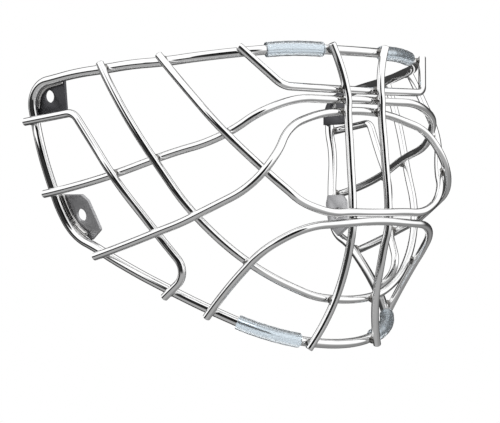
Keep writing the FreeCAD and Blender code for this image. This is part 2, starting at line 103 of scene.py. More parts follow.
# Places that a wire passes between its crossings.
WAYPOINTS: dict[str, tuple[float, float, float]] = {
    "crown_middle": (-40.5, -114.0, 56.5),
    "crown_side": (-83.5, -85.0, 51.5),
    "crown_rear": (-102.5, -50.0, 48.0),
    "temple_top": (-112.5, -17.5, 44.5),
    "temple_corner": (-118.5, 18.0, 39.0),
    "temple_side": (-115.0, 12.0, 5.0),
    "jaw_upper": (-107.5, 5.0, -28.0),
    "jaw_lower": (-103.5, -1.0, -41.0),
    "jaw_front": (-89.5, -40.0, -64.5),
    "chin_side": (-50.0, -96.0, -95.5),
    "bar_upper": (-13.5, -129.5, 2.0),
    "bar_lower": (-13.5, -128.0, -55.0),
    "hoop_corner": (-54.5, -120.0, 35.5),
    "brow_side": (-66.0, -116.5, 22.0),
    "brow_front": (-56.5, -120.0, 26.0),
    "eye_side": (-65.5, -125.5, -1.5),
    "eye_corner": (-54.0, -124.0, 12.0),
    "eye_front": (-33.5, -121.5, 20.0),
    "mouth_side": (-64.0, -110.0, -55.0),
    "mouth_front": (-54.0, -125.5, -43.5),
    "cheek_top": (-116.5, -19.0, 23.0),
    "cheek_upper": (-112.0, -30.5, 5.5),
    "cheek_bottom": (-82.0, -75.0, -64.5),
    "chin_upper": (-106.5, -53.0, 19.5),
    "chin_lower": (-41.0, -110.5, -71.5),
    "chin_front": (-22.5, -114.5, -78.0),
    "nose_upper": (-93.5, -81.5, 38.0),
    "nose_side": (-61.0, -127.5, -18.5),
    "nose_lower": (-52.5, -132.0, -26.0),
    "nose_front": (-41.5, -135.5, -30.5),
}
# Waypoints that are the corner of two straight runs, with their bend radius.
BENDS: dict[str, float] = {
    "temple_corner": 14.0,
    "hoop_corner": 10.0,
    "cheek_top": 7.0,
    "cheek_bottom": 10.0,
}
ROUTES: dict[str, tuple[Run, list[str]]] = {
    "rim": (Run.LOOP, ["crown_bar", "crown_middle", "crown_hoop", "crown_side", "crown_nose",
                       "crown_rear", "crown_chin", "temple_top", "temple_corner",
                       "temple_cheek", "temple_side", "temple_brow", "jaw_upper",
                       "jaw_lower", "jaw_eye", "jaw_front", "jaw_cheek", "jaw_mouth",
                       "chin_side", "chin_bar"]),
    "hoop": (Run.ACROSS, ["crown_hoop", "hoop_corner", "bar_hoop"]),
    "brow": (Run.ACROSS, ["temple_brow", "cheek_brow", "chin_brow", "nose_brow",
                          "brow_side", "brow_front", "bar_brow"]),
    "eye": (Run.ACROSS, ["jaw_eye", "cheek_eye", "chin_eye", "nose_eye", "eye_side",
                         "eye_corner", "eye_front", "bar_eye"]),
    "nose": (Run.ACROSS, ["crown_nose", "nose_upper", "nose_brow", "nose_eye", "nose_side",
                          "nose_lower", "nose_front", "bar_nose"]),
    "mouth": (Run.ACROSS, ["jaw_mouth", "chin_mouth", "mouth_side", "mouth_front",
                           "bar_mouth"]),
    "chin": (Run.ACROSS, ["crown_chin", "chin_upper", "chin_brow", "chin_eye", "chin_mouth",
                          "chin_lower", "chin_front", "bar_chin"]),
    "bar": (Run.SIDE, ["crown_bar", "bar_hoop", "bar_brow", "bar_eye", "bar_upper",
                       "bar_nose", "bar_mouth", "bar_lower", "bar_chin", "chin_bar"]),
    "cheek": (Run.SIDE, ["temple_cheek", "cheek_top", "cheek_upper", "cheek_brow",
                         "cheek_eye", "cheek_bottom", "jaw_cheek"]),
}
HEAD_CENTRE = Vector((0.0, 30.0, -31.5))


def linear(code: str, alpha: float = 1.0) -> tuple[float, float, float, float]:
    """Turns an sRGB hex code into the linear colour that a shader takes.

    Args:
        code: Six hex digits, with or without a leading hash.
        alpha: Fourth component of the result.

    Returns:
        Linear red, green, blue and alpha.
    """
    digits = code.lstrip("#")
    channels = [int(digits[i:i + 2], 16) / 255.0 for i in (0, 2, 4)]
    turned = [c / 12.92 if c <= 0.04045 else ((c + 0.055) / 1.055) ** 2.4 for c in channels]
    return turned[0], turned[1], turned[2], alpha


def feed(node: bpy.types.Node, links: dict) -> None:
    """Gives inputs of a node their sources.

    Args:
        node: Node to feed.
        links: Input name or index, to the socket or the value it takes.
    """
    for key, value in links.items():
        if isinstance(value, bpy.types.NodeSocket):
            node.id_data.links.new(value, node.inputs[key])
        else:
            node.inputs[key].default_value = value


def add(tree: bpy.types.NodeTree, kind: str, links: dict | None = None,
        **settings: object) -> bpy.types.Node:
    """Adds one node with its settings and links.

    Args:
        tree: Node tree that gets the node.
        kind: Blender's name of the node type.
        links: Input name or index, to the socket or the value it takes.
        **settings: Properties of the node.

    Returns:
        The new node.
    """
    made = tree.nodes.new(kind)
    for key, value in settings.items():
        setattr(made, key, value)
    feed(made, links or {})
    return made


def calculated(tree: bpy.types.NodeTree, operation: str,
               *values: object) -> bpy.types.NodeSocket:
    """Does one step of arithmetic.

    Args:
        tree: Node tree that gets the node.
        operation: Blender's name of the step.
        *values: Sockets or numbers, in the order that the step takes them.

    Returns:
        Socket of the result.
    """
    return add(tree, "ShaderNodeMath", dict(enumerate(values)),
               operation=operation).outputs[0]


def ranged(tree: bpy.types.NodeTree, value: bpy.types.NodeSocket,
           source: tuple[float, float] = (0.0, 1.0),
           target: tuple[float, float] = (0.0, 1.0),
           smooth: bool = False) -> bpy.types.NodeSocket:
    """Carries a value from one range to another and holds it there.

    Args:
        tree: Node tree that gets the node.
        value: Socket to map.
        source: The two values that give the ends of the target.
        target: Result at the two ends of the source.
        smooth: Whether the change eases in and out.

    Returns:
        Socket of the result.
    """
    return add(tree, "ShaderNodeMapRange", {
        "Value": value, "From Min": source[0], "From Max": source[1],
        "To Min": target[0], "To Max": target[1]},
        interpolation_type="SMOOTHSTEP" if smooth else "LINEAR").outputs[0]


def noise(tree: bpy.types.NodeTree, place: bpy.types.NodeSocket, scale: float,
          detail: float) -> bpy.types.NodeSocket:
    """Random clouds.

    Args:
        tree: Node tree that gets the node.
        place: Socket of the position.
        scale: Clouds per metre.
        detail: Octaves of finer clouds.

    Returns:
        Socket of a value from 0 to 1.
    """
    return add(tree, "ShaderNodeTexNoise", {"Vector": place, "Scale": scale,
                                            "Detail": detail}).outputs["Fac"]


def blended(tree: bpy.types.NodeTree, share: bpy.types.NodeSocket, first: str,
            second: str) -> bpy.types.NodeSocket:
    """Mixes two colours.

    Args:
        tree: Node tree that gets the node.
        share: Socket that gives the first colour at 0 and the second at 1.
        first: Hex code of a colour.
        second: Hex code of a colour.

    Returns:
        Socket of the colour.
    """
    return add(tree, "ShaderNodeMix", {0: share, 6: linear(first), 7: linear(second)},
               data_type="RGBA").outputs[2]


def weighed(tree: bpy.types.NodeTree, share: bpy.types.NodeSocket, first: object,
            second: object) -> bpy.types.NodeSocket:
    """Mixes two numbers.

    Args:
        tree: Node tree that gets the node.
        share: Socket that gives the first number at 0 and the second at 1.
        first: Socket or number.
        second: Socket or number.

    Returns:
        Socket of the number.
    """
    return add(tree, "ShaderNodeMix", {0: share, 2: first, 3: second},
               data_type="FLOAT").outputs[0]


def relief(tree: bpy.types.NodeTree, height: bpy.types.NodeSocket, strength: float,
           depth: float) -> bpy.types.NodeSocket:
    """Fine relief of a surface.

    Args:
        tree: Node tree that gets the node.
        height: Socket of the height, 0 to 1.
        strength: Share of the relief that shows.
        depth: Metres between a height of 0 and of 1.

    Returns:
        Socket of the bent normal.
    """
    return add(tree, "ShaderNodeBump", {"Height": height, "Strength": strength,
                                        "Distance": depth}).outputs[0]


# ------------------------------------------------------------------ wire layout
class Layout:
    """Centre lines of the wires, in millimetres, as runs of tangent arcs."""

    rim_radius: float = 2.65
    grid_radius: float = 2.2
    weld_gap: float = 0.35
    passes: int = 6
    step: float = 1.0

    def __init__(self) -> None:
        """Finds the direction in which the outer wire lies at each crossing."""
        self.place = {name: Vector(spot[2]) for name, spot in CROSSINGS.items()}
        self.place.update({name: Vector(spot) for name, spot in WAYPOINTS.items()})
        self.normal = {name: Vector((0.0, 0.0, 0.0)) for name in CROSSINGS}
        for _ in range(self.passes):
            self._turn_normals_outward()

    def radius(self, wire: str) -> float:
        """Radius of a wire.

        Args:
            wire: Name of the route.

        Returns:
            Millimetres.
        """
        return self.rim_radius if wire == "rim" else self.grid_radius

    def station(self, wire: str, name: str) -> Vector:
        """Where the centre line of a wire passes a named place.

        Args:
            wire: Name of the route.
            name: Crossing or waypoint.

        Returns:
            The place.
        """
        spot = Vector(self.place[name])
        if name in CROSSINGS and CROSSINGS[name][1] == wire:
            inner, outer, _ = CROSSINGS[name]
            spot += self.normal[name] * (self.radius(inner) + self.radius(outer) + self.weld_gap)
        return spot

    def contact(self, name: str) -> Vector:
        """The middle of the weld between the two wires of a crossing.

        Args:
            name: Crossing.

        Returns:
            The place.
        """
        reach = self.radius(CROSSINGS[name][0]) + self.weld_gap / 2.0
        return self.place[name] + self.normal[name] * reach

    def _turn_normals_outward(self) -> None:
        """Points each crossing's normal square to both wires, away from the head."""
        turned = {}
        for name, (inner, outer, _) in CROSSINGS.items():
            first = self._heading_at(inner, name)
            second = self._heading_at(outer, name)
            normal = first.cross(second).normalized()
            if normal.dot(self.place[name] - HEAD_CENTRE) < 0.0:
                normal = -normal
            turned[name] = normal
        self.normal.update(turned)

    def _heading_at(self, wire: str, name: str) -> Vector:
        """Direction of a wire where it passes a crossing.

        Args:
            wire: Name of the route.
            name: Crossing.

        Returns:
            Unit vector.
        """
        points, headings = self.passing_points(wire)
        spot = self.station(wire, name)
        nearest = min(range(len(points)), key=lambda k: (points[k] - spot).length)
        return headings[nearest]

    @staticmethod
    def _directions(points: list[Vector], closed: bool) -> list[Vector]:
        """Direction at each point: that of the circle through its neighbours.

        Args:
            points: Places along a wire.
            closed: Whether the last place is followed by the first.

        Returns:
            One unit vector for each point.
        """
        count = len(points)
        steps = [points[(i + 1) % count] - points[i] for i in range(count)]
        result = [Vector((0.0, 0.0, 0.0)) for _ in points]
        for i in range(count):
            if closed or 0 < i < count - 1:
                before, after = steps[i - 1], steps[i]
                turned = before.normalized() * after.length + after.normalized() * before.length
                result[i] = turned.normalized()
        return result

    @staticmethod
    def _end_direction(step: Vector, beside: Vector) -> Vector:
        """Direction at a free end, so that its last leg is one arc.

        Args:
            step: From one end of the leg to the other.
            beside: Direction at the end that isn't free.

        Returns:
            Unit vector.
        """
        along = step.normalized()
        return (along * (2.0 * along.dot(beside)) - beside).normalized()

    def passing_points(self, wire: str) -> tuple[list[Vector], list[Vector]]:
        """Points of a wire with their directions, each bend as its two ends.

        Args:
            wire: Name of the route.

        Returns:
            The points and the direction of travel at each.
        """
        run, names = ROUTES[wire]
        labels = list(names)
        corners = [self.station(wire, name) for name in names]
        if run is not Run.SIDE:
            labels += list(reversed(names))
            corners += [Vector((-p.x, p.y, p.z)) for p in reversed(corners)]
        points: list[Vector] = []
        fixed: list[Vector | None] = []
        for i, corner in enumerate(corners):
            if labels[i] not in BENDS:
                points.append(corner)
                fixed.append(None)
                continue
            arriving = (corner - corners[i - 1]).normalized()
            leaving = (corners[i + 1] - corner).normalized()
            setback = BENDS[labels[i]] * math.tan(arriving.angle(leaving) / 2.0)
            points += [corner - arriving * setback, corner + leaving * setback]
            fixed += [arriving, leaving]
        headings = self._directions(points, run is Run.LOOP)
        for i, direction in enumerate(fixed):
            if direction is not None:
                headings[i] = direction
        if run is not Run.LOOP:
            headings[0] = self._end_direction(points[1] - points[0], headings[1])
            headings[-1] = self._end_direction(points[-1] - points[-2], headings[-2])
        return points, headings

    def _arc(self, start: Vector, apex: Vector, finish: Vector) -> list[Vector]:
        """Points of an arc.

        Args:
            start: First point.
            apex: Where the tangents at both ends meet.
            finish: Last point, which isn't in the result.

        Returns:
            Points about a step apart.
        """
        chord = finish - start
        weight = math.cos(chord.angle(apex - start, 0.0))
        count = max(2, math.ceil(chord.length / self.step))
        points = []
        for k in range(count):
            t = k / count
            shares = ((1.0 - t) ** 2, 2.0 * weight * t * (1.0 - t), t * t)
            total = start * shares[0] + apex * shares[1] + finish * shares[2]
            points.append(total / sum(shares))
        return points

    def leg(self, start: Vector, leaving: Vector, finish: Vector,
            arriving: Vector) -> list[Vector]:
        """Points of the two arcs that keep both directions and meet smoothly.

        Args:
            start: First point.
            leaving: Direction at the first point.
            finish: Last point, which isn't in the result.
            arriving: Direction at the last point.

        Returns:
            Points about a step apart.
        """
        gap = finish - start
        parting = 1.0 - leaving.dot(arriving)
        if parting < 1e-9:
            reach = gap.dot(gap) / (4.0 * gap.dot(arriving))
        else:
            along = gap.dot(leaving + arriving)
            reach = math.sqrt(along * along + 2.0 * parting * gap.dot(gap)) - along
            reach /= 2.0 * parting
        one = start + leaving * reach
        two = finish - arriving * reach
        middle = (one + two) * 0.5
        return self._arc(start, one, middle) + self._arc(middle, two, finish)

    def line(self, wire: str) -> list[Vector]:
        """A whole wire's centre line, without end overhangs.

        Args:
            wire: Name of the route.

        Returns:
            Points about a step apart.
        """
        points, headings = self.passing_points(wire)
        closed = ROUTES[wire][0] is Run.LOOP
        legs = len(points) if closed else len(points) - 1
        line: list[Vector] = []
        for i in range(legs):
            after = (i + 1) % len(points)
            line += self.leg(points[i], headings[i], points[after], headings[after])
        if not closed:
            line.append(Vector(points[-1]))
        return line

    def rim_stretch(self, start: str, towards: str, setback: float,
                    length: float) -> list[Vector]:
        """Part of the rim's centre line.

        Args:
            start: Named place that the setback is measured from.
            towards: Named place on the side that the stretch lies.
            setback: Distance along the rim to the stretch.
            length: Length of the stretch.

        Returns:
            Points about a step apart, in order.
        """
        line = self.line("rim")
        half = line[:len(line) // 2]
        first = min(range(len(half)), key=lambda k: (half[k] - self.place[start]).length)
        last = min(range(len(half)), key=lambda k: (half[k] - self.place[towards]).length)
        way = 1 if last > first else -1
        kept: list[Vector] = []
        travelled = 0.0
        k = first
        while travelled < setback + length:
            gap = line[k + way] - line[k]
            if travelled + gap.length > setback:
                from_share = max(0.0, (setback - travelled) / gap.length)
                if not kept:
                    kept.append(line[k] + gap * from_share)
                upto = min(1.0, (setback + length - travelled) / gap.length)
                kept.append(line[k] + gap * upto)
            travelled += gap.length
            k += way
        return kept


# -------------------------------------------------------------------- finishes
@dataclass(frozen=True)
class Finish:
    """A material with a name, the record's slot it stands for, and its colour."""

    name: str
    slot: str
    colour: str

    def start(self) -> tuple[bpy.types.Material, bpy.types.NodeTree, bpy.types.Node,
                             bpy.types.NodeSocket]:
        """Begins the material.

        Returns:
            The material, its tree, its surface shader and the place on the object.
        """
        material = bpy.data.materials.new(self.name)
        material.use_nodes = True
        tree = material.node_tree
        tree.nodes.clear()
        shader = add(tree, "ShaderNodeBsdfPrincipled")
        add(tree, "ShaderNodeOutputMaterial", {"Surface": shader.outputs["BSDF"]})
        place = add(tree, "ShaderNodeTexCoord")
        return material, tree, shader, place.outputs["Object"]

    def material(self) -> bpy.types.Material:
        """Builds the finish.

        Returns:
            The finished material.
        """
        raise NotImplementedError


@dataclass(frozen=True)
class PolishedStainlessWire(Finish):
    """Type 304 wire, drawn and then electropolished.

    It gives a mirror that is a little soft, drawing marks a millimetre or so long,
    and a straw-grey heat stain beside each weld.
    """

    stain: str = "#6F675F"
    roughness: tuple[float, float] = (0.035, 0.085)
    stain_dulling: float = 0.22

    def material(self) -> bpy.types.Material:
        """Builds the finish.

        Returns:
            The finished material.
        """
        material, tree, shader, place = self.start()
        cloud = noise(tree, place, 240.0, 3.0)
        rough = ranged(tree, cloud, (0.3, 0.7), self.roughness)
        heat = add(tree, "ShaderNodeAttribute", attribute_name="heat").outputs["Fac"]
        stained = ranged(tree, calculated(tree, "MULTIPLY", heat, cloud), (0.3, 0.75))
        feed(shader, {
            "Metallic": 1.0,
            "Base Color": blended(tree, stained, self.colour, self.stain),
            "Roughness": calculated(tree, "MULTIPLY_ADD", stained, self.stain_dulling, rough),
            "Normal": relief(tree, noise(tree, place, 900.0, 2.0), 0.02, 0.0001)})
        return material


@dataclass(frozen=True)
class TumbledStainlessSheet(Finish):
    """Stainless sheet, punched and tumbled.

    It gives a satin grey with faint clouding and fine scratches.
    """

    deep: str

    def material(self) -> bpy.types.Material:
        """Builds the finish.

        Returns:
            The finished material.
        """
        material, tree, shader, place = self.start()
        cloud = noise(tree, place, 160.0, 4.0)
        grit = noise(tree, place, 1500.0, 2.0)
        feed(shader, {
            "Metallic": 1.0,
            "Base Color": blended(tree, cloud, self.deep, self.colour),
            "Roughness": ranged(tree, grit, target=(0.42, 0.55)),
            "Normal": relief(tree, grit, 0.1, 0.0001)})
        return material


@dataclass(frozen=True)
class ShearedSheetEdge(Finish):
    """Cut edge of punched stainless sheet.

    It gives a bright strip crossed by the dark teeth of the tear, 1.6 mm apart.
    """

    torn: str = "#1D1D1E"
    tear_spacing_mm: float = 1.6
    waves_per_scale: float = 6.5

    def material(self) -> bpy.types.Material:
        """Builds the finish.

        Returns:
            The finished material.
        """
        material, tree, shader, place = self.start()
        bands = add(tree, "ShaderNodeTexWave", {
            "Vector": place, "Scale": 1000.0 / (self.tear_spacing_mm * self.waves_per_scale),
            "Distortion": 2.2, "Detail": 2.0, "Detail Scale": 3.0},
            wave_type="BANDS", bands_direction="Z")
        teeth = ranged(tree, bands.outputs["Fac"], (0.35, 0.6))
        feed(shader, {
            "Metallic": 1.0, "Roughness": 0.35,
            "Base Color": blended(tree, teeth, self.torn, self.colour),
            "Normal": relief(tree, teeth, 0.5, 0.0003)})
        return material


@dataclass(frozen=True)
class ResistanceWeldMetal(Finish):
    """Bare nugget squeezed out by the welding electrodes.

    It gives small dark lumps with a scaly, half-matt surface.
    """

    scale_colour: str = "#B9B7B4"

    def material(self) -> bpy.types.Material:
        """Builds the finish.

        Returns:
            The finished material.
        """
        material, tree, shader, place = self.start()
        lumps = noise(tree, place, 700.0, 4.0)
        feed(shader, {
            "Metallic": 1.0,
            "Base Color": blended(tree, lumps, self.colour, self.scale_colour),
            "Roughness": ranged(tree, lumps, target=(0.15, 0.4)),
            "Normal": relief(tree, lumps, 0.6, 0.0004)})
        return material


@dataclass(frozen=True)
class ExtrudedClearVinyl(Finish):
    """Soft PVC tube, extruded clear with a blue toner.

    It gives a see-through skin with a cool cast and a slightly greasy gloss.
    """

    def material(self) -> bpy.types.Material:
        """Builds the finish.

        Returns:
            The finished material.
        """
        material, tree, shader, place = self.start()
        feed(shader, {
            "Base Color": linear(self.colour), "Transmission Weight": 0.9, "IOR": 1.53,
            "Roughness": ranged(tree, noise(tree, place, 180.0, 2.0), target=(0.05, 0.14))})
        return material


# ---------------------------------------------------------- geometry node trees
def plain(obj: bpy.types.Object) -> bpy.types.Object:
    """Turns the result of an object's modifiers into its own plain mesh.

    Args:
        obj: Object whose modifiers are finished with.

    Returns:
        The same object, with no modifiers.
    """
    graph = bpy.context.evaluated_depsgraph_get()
    mesh = bpy.data.meshes.new_from_object(obj.evaluated_get(graph), depsgraph=graph)
    obj.modifiers.clear()
    obj.data = mesh
    mesh.set_sharp_from_angle(angle=math.radians(38.0))
    return obj


def shown(name: str, mesh: bpy.types.Mesh) -> bpy.types.Object:
    """Puts a mesh into the scene.

    Args:
        name: Name of the object.
        mesh: Its mesh.

    Returns:
        The object.
    """
    obj = bpy.data.objects.new(name, mesh)
    bpy.context.scene.collection.objects.link(obj)
    return obj


class NodeTree:
    """A geometry node tree with named inputs, applied as a modifier."""

    def __init__(self, name: str, inputs: dict[str, tuple[str, object]]) -> None:
        """Makes the tree with its inputs.

        Args:
            name: Name of the tree.
            inputs: Input name, to its socket type and default value.
        """
        self.tree = bpy.data.node_groups.new(name, "GeometryNodeTree")
        face = self.tree.interface
        face.new_socket("Geometry", in_out="INPUT", socket_type="NodeSocketGeometry")
        face.new_socket("Geometry", in_out="OUTPUT", socket_type="NodeSocketGeometry")
        self.keys: dict[str, str] = {}
        for label, (kind, default) in inputs.items():
            socket = face.new_socket(label, in_out="INPUT", socket_type=kind)
            if default is not None:
                socket.default_value = default
            self.keys[label] = socket.identifier
        self.entry = add(self.tree, "NodeGroupInput")

    def end(self, geometry: bpy.types.NodeSocket) -> None:
        """Realizes the instances, sets the material and closes the tree.

        Args:
            geometry: Socket of the result.
        """
        smooth = add(self.tree, "GeometryNodeSetShadeSmooth", {"Geometry": geometry})
        real = add(self.tree, "GeometryNodeRealizeInstances",
                   {"Geometry": smooth.outputs[0]})
        dressed = add(self.tree, "GeometryNodeSetMaterial",
                      {"Geometry": real.outputs[0],
                       "Material": self.entry.outputs["Material"]})
        add(self.tree, "NodeGroupOutput", {"Geometry": dressed.outputs[0]})

    def grow(self, obj: bpy.types.Object, **values: object) -> bpy.types.Object:
        """Runs the tree on an object and keeps the result as a plain mesh.

        Args:
            obj: Object that carries the input mesh.
            **values: Input values, by name with underscores for spaces.

        Returns:
            The same object with the grown mesh.
        """
        modifier = obj.modifiers.new(self.tree.name, "NODES")
        modifier.node_group = self.tree
        for label, value in values.items():
            modifier[self.keys[label.replace("_", " ")]] = value
        obj.update_tag()
        return plain(obj)


class RoundBar(NodeTree):
    """Tree that sweeps a round section along a line of points.

    The section follows the points' "taper", and ripples along the line as a weld
    bead does when Ripple isn't zero.
    """

    def __init__(self) -> None:
        """Builds the tree."""
        super().__init__("Round bar along a line", {
            "Radius": ("NodeSocketFloat", 0.0022),
            "Sides": ("NodeSocketInt", 24),
            "Ripple": ("NodeSocketFloat", 0.0),
            "Ripple Pitch": ("NodeSocketFloat", 0.001),
            "Material": ("NodeSocketMaterial", None),
        })
        tree, entry = self.tree, self.entry.outputs
        curve = add(tree, "GeometryNodeMeshToCurve", {"Mesh": entry["Geometry"]})
        taper = add(tree, "GeometryNodeInputNamedAttribute", {"Name": "taper"},
                    data_type="FLOAT")
        along = add(tree, "GeometryNodeSplineParameter")
        turns = calculated(tree, "DIVIDE", along.outputs["Length"], entry["Ripple Pitch"])
        wave = calculated(tree, "SINE", calculated(tree, "MULTIPLY", turns, math.tau))
        swell = calculated(tree, "MULTIPLY_ADD", wave, entry["Ripple"], 1.0)
        shaped = calculated(tree, "MULTIPLY", taper.outputs[0], swell)
        radius = calculated(tree, "MULTIPLY", shaped, entry["Radius"])
        sized = add(tree, "GeometryNodeSetCurveRadius", {"Curve": curve.outputs[0],
                                                         "Radius": radius})
        circle = add(tree, "GeometryNodeCurvePrimitiveCircle",
                     {"Resolution": entry["Sides"], "Radius": 1.0}, mode="RADIUS")
        swept = add(tree, "GeometryNodeCurveToMesh",
                    {"Curve": sized.outputs[0], "Profile Curve": circle.outputs[0],
                     "Fill Caps": True})
        if "Scale" in swept.inputs:
            tree.links.new(radius, swept.inputs["Scale"])
        self.end(swept.outputs[0])


class SqueezedNuggets(NodeTree):
    """Tree that puts a lumpy weld nugget on each point, square to its "outward"."""

    def __init__(self) -> None:
        """Builds the tree."""
        super().__init__("Squeezed weld nuggets", {
            "Radius": ("NodeSocketFloat", 0.0028),
            "Lump": ("NodeSocketFloat", 0.0003),
            "Material": ("NodeSocketMaterial", None),
        })
        tree, entry = self.tree, self.entry.outputs
        ball = add(tree, "GeometryNodeMeshIcoSphere", {"Radius": entry["Radius"],
                                                       "Subdivisions": 4})
        outward = add(tree, "GeometryNodeInputNamedAttribute", {"Name": "outward"},
                      data_type="FLOAT_VECTOR")
        turn = add(tree, "FunctionNodeAlignRotationToVector",
                   {"Vector": outward.outputs[0]}, axis="Z")
        placed = add(tree, "GeometryNodeInstanceOnPoints",
                     {"Points": entry["Geometry"], "Instance": ball.outputs["Mesh"],
                      "Rotation": turn.outputs[0]})
        real = add(tree, "GeometryNodeRealizeInstances", {"Geometry": placed.outputs[0]})
        spot = add(tree, "GeometryNodeInputPosition")
        lumps = noise(tree, spot.outputs[0], 420.0, 2.0)
        height = calculated(tree, "SUBTRACT", lumps, 0.62)
        depth = calculated(tree, "MULTIPLY", height, entry["Lump"])
        normal = add(tree, "GeometryNodeInputNormal")
        push = add(tree, "ShaderNodeVectorMath", {0: normal.outputs[0],
                                                  "Scale": depth},
                   operation="SCALE")
        lumpy = add(tree, "GeometryNodeSetPosition", {"Geometry": real.outputs[0],
                                                      "Offset": push.outputs[0]})
        self.end(lumpy.outputs[0])


# ------------------------------------------------------------------------ pieces
def polyline(name: str, points: list[Vector], closed: bool, taper: list[float],
             heat: list[float]) -> bpy.types.Object:
    """An object whose mesh is a line of points, in metres.

    Args:
        name: Name of the object.
        points: Places in millimetres.
        closed: Whether the line returns to its first point.
        taper: Share of the full section at each point.
        heat: How much weld stain each point carries, 0 to 1.

    Returns:
        The object, in the scene.
    """
    mesh = bpy.data.meshes.new(name)
    edges = [(i, i + 1) for i in range(len(points) - 1)]
    if closed:
        edges.append((len(points) - 1, 0))
    mesh.from_pydata([tuple(p * MM) for p in points], edges, [])
    for label, values in (("taper", taper), ("heat", heat)):
        layer = mesh.attributes.new(label, "FLOAT", "POINT")
        layer.data.foreach_set("value", values)
    return shown(name, mesh)


def flipped(points: list[Vector], side: Side) -> list[Vector]:
    """Points of the left half, moved to a side.

    Args:
        points: Places on the left.
        side: Side that they go to.

    Returns:
        The places there.
    """
    return [Vector((p.x * side.value, p.y, p.z)) for p in points]


def hand_over(piece: bpy.types.Object, slot: str, *nodes: str) -> None:
    """Makes a piece ride on the cage and stand for its CAD nodes.

    Args:
        piece: Finished object.
        slot: Material slot of the record; not used.
        *nodes: Names of the CAD nodes that it replaces.
    """
    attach(piece, "root")
    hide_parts(*nodes)
    LOG.info("%s: %d faces", piece.name, len(piece.data.polygons))


@dataclass
class WireGrid:
    """The rim and the wires welded across it, each a smooth bent rod."""

    layout: Layout
    bar: RoundBar
    finish: PolishedStainlessWire
    rim_finish: PolishedStainlessWire
    overhang: float = 3.3
    end_chamfer: float = 0.35
    stain_reach: float = 3.4
    nodes: dict[str, str] = field(default_factory=lambda: {
        "rim": "rim_wire", "hoop": "crown_hoop_wire", "brow": "brow_wire",
        "eye": "eye_wire", "nose": "nose_wire", "mouth": "mouth_wire",
        "chin": "chin_wire", "bar": "centre_bar", "cheek": "cheek_wire"})

    def _stain(self, wire: str, points: list[Vector]) -> list[float]:
        """Weld stain along a wire.

        Args:
            wire: Name of the route.
            points: Its left-hand or whole line.

        Returns:
            Stain at each point, 0 to 1.
        """
        spots = [self.layout.station(wire, name) for name, ends in CROSSINGS.items()
                 if wire in ends[:2]]
        stain = []
        for point in points:
            near = Vector((-abs(point.x), point.y, point.z))
            gap = min((near - spot).length for spot in spots)
            stain.append(math.exp(-(gap / self.stain_reach) ** 2))
        return stain

    def _ended(self, points: list[Vector]) -> tuple[list[Vector], list[float]]:
        """Adds the straight overhanging ends, each with a small chamfer.

        Args:
            points: Line from the first crossing to the last.

        Returns:
            The longer line, and the share of the full section at each point.
        """
        line = list(points)
        for _ in range(2):
            away = (line[0] - line[1]).normalized()
            tip = line[0] + away * self.overhang
            steps = [tip, tip - away * self.end_chamfer]
            steps += [line[0] + away * (self.overhang * k / 3.0) for k in (2, 1)]
            line = list(reversed(steps + line))
        share = 1.0 - self.end_chamfer / self.layout.grid_radius
        return line, [share] + [1.0] * (len(line) - 2) + [share]

    def build(self) -> None:
        """Builds every wire and hands it over."""
        for wire, node in self.nodes.items():
            line = self.layout.line(wire)
            closed = wire == "rim"
            taper = [1.0] * len(line)
            if not closed:
                line, taper = self._ended(line)
            heat = self._stain(wire, line)
            finish = self.rim_finish if closed else self.finish
            paired = ROUTES[wire][0] is Run.SIDE
            for side in (Side.LEFT, Side.RIGHT) if paired else (Side.LEFT,):
                target = "%s_%s" % (node, side.tag) if paired else node
                piece = polyline("bent_" + target, flipped(line, side), closed, taper, heat)
                self.bar.grow(piece, Radius=self.layout.radius(wire) * MM,
                              Sides=28 if closed else 24, Material=finish.material())
                hand_over(piece, finish.slot, target)


